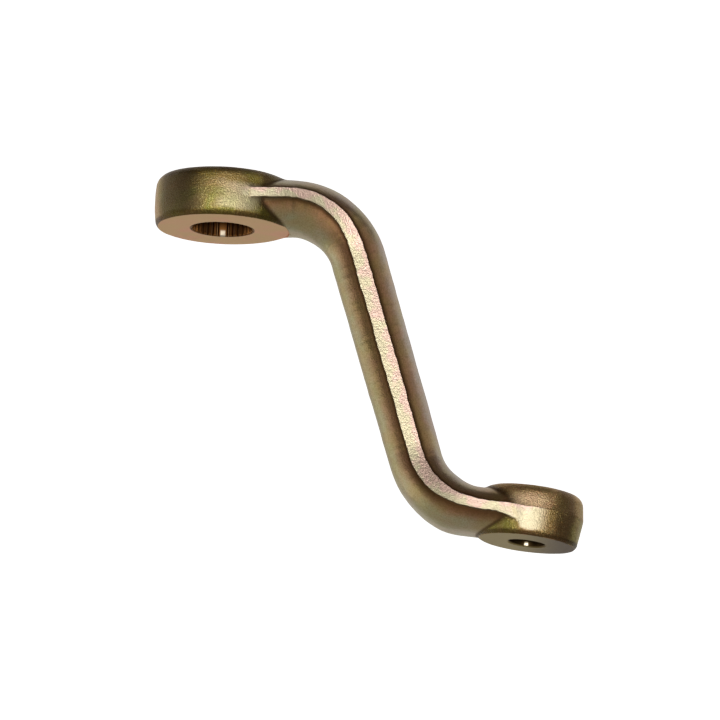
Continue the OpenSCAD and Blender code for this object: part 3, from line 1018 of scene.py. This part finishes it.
lens = bpy.data.cameras.new("camera")
lens.lens, lens.sensor_width, lens.clip_end = LENS, SENSOR, CLIP_END
camera = bpy.data.objects.new("camera", lens)
bpy.context.scene.collection.objects.link(camera)
camera.matrix_world = Matrix(turn.tolist())
bpy.context.scene.camera = camera
print("camera at", CAMERA_PLACE)

# %% [markdown]
# ## Stage
# A pale floor well below the arm throws soft light up at its lower faces. Over it and all round stands a plain
# white sweep that only the camera sees, so the ground is white as in the photograph and adds no light of its own.

# %% Floor and sweep
FLOOR_Z, FLOOR_THICK, FLOOR_R = -1500.0, 10.0, 6500.0
SWEEP_Z, SWEEP_R = FLOOR_Z + 1, 7000.0
FLOOR_SIDES, SWEEP_SIDES, SWEEP_RINGS = 96, 48, 20
UNSEEN_BY = ("diffuse", "glossy", "transmission", "volume_scatter", "shadow")


def plain_material(name, shade, glow):
    """One plain pale surface, or with glow a surface that shines evenly."""
    inputs = {"Base Color": (shade, shade, shade, 1), "Roughness": 0.8}
    inputs.update({"Emission Color": (1, 1, 1, 1), "Emission Strength": glow})
    return shaded(*new_material(name), inputs)


floor = turned_solid("floor", [(FLOOR_Z - FLOOR_THICK, FLOOR_R), (FLOOR_Z, FLOOR_R)], count=FLOOR_SIDES)
floor.data.materials.append(plain_material("pale_floor", 0.8, 0.0))
polar = np.linspace(math.asin(SWEEP_Z / SWEEP_R), np.pi / 2, SWEEP_RINGS)[:-1]
sweep = [(SWEEP_R * math.sin(a), SWEEP_R * math.cos(a)) for a in polar]
surround = turned_solid("surround", sweep, count=SWEEP_SIDES)
surround.data.materials.append(plain_material("pale_surround", 0.9, 1.0))
for ray in UNSEEN_BY:
    setattr(surround, "visible_" + ray, False)
print("stage", floor.name, surround.name)

# %% [markdown]
# ## Light
# The strip and the lower wall of the splined eye shine because a small panel stands close to the lens; low on that
# wall a painted highlight adds to it. Large soft panels do the rest: one in front for the bends, two on each side
# for the flanks, and one behind that draws the light rims, which the flanks' rim colours also paint in. Each panel
# is hidden from the camera, and its power spreads over its area.

# %% Soft panels
AIM = (0.075, 0, -0.074)
# Name, place and size in metres, power in watts.
PANELS = (
    ("camera_soft", (0.07, -2.62, -0.45), (0.3, 0.3), 34),
    ("front_soft", (0.1, -2.49, 0.46), (3.7, 2.0), 9),
    ("left_soft", (-2.46, 0.58, -0.80), (3.6, 1.5), 17),
    ("left_back", (-2.21, 1.32, 0.49), (1.45, 1.15), 4.7),
    ("right_soft", (2.37, -0.34, 1.11), (2.15, 1.1), 3.7),
    ("right_back", (2.25, 1.23, 0.94), (1.5, 1.15), 4.6),
    ("back_soft", (0.1, 3.0, 1.2), (6.0, 6.0), 90),
)
SKY = 0.1

for name, where, size, power in PANELS:
    lamp = bpy.data.lights.new(name, "AREA")
    lamp.shape, lamp.energy = "RECTANGLE", power
    lamp.size, lamp.size_y = size
    holder = bpy.data.objects.new(name, lamp)
    holder.location = where
    holder.rotation_euler = (Vector(AIM) - Vector(where)).to_track_quat("-Z", "Y").to_euler()
    holder.visible_camera = False
    bpy.context.scene.collection.objects.link(holder)

world = bpy.data.worlds.new("studio")
bpy.context.scene.world = world
world.use_nodes = True
world.node_tree.nodes["Background"].inputs["Color"].default_value = (1, 1, 1, 1)
world.node_tree.nodes["Background"].inputs["Strength"].default_value = SKY
bpy.context.scene.view_settings.view_transform = "Standard"
print("panels", [panel[0] for panel in PANELS])

# %% [markdown]
# The dressed arm has to stay inside the CAD solid's box.
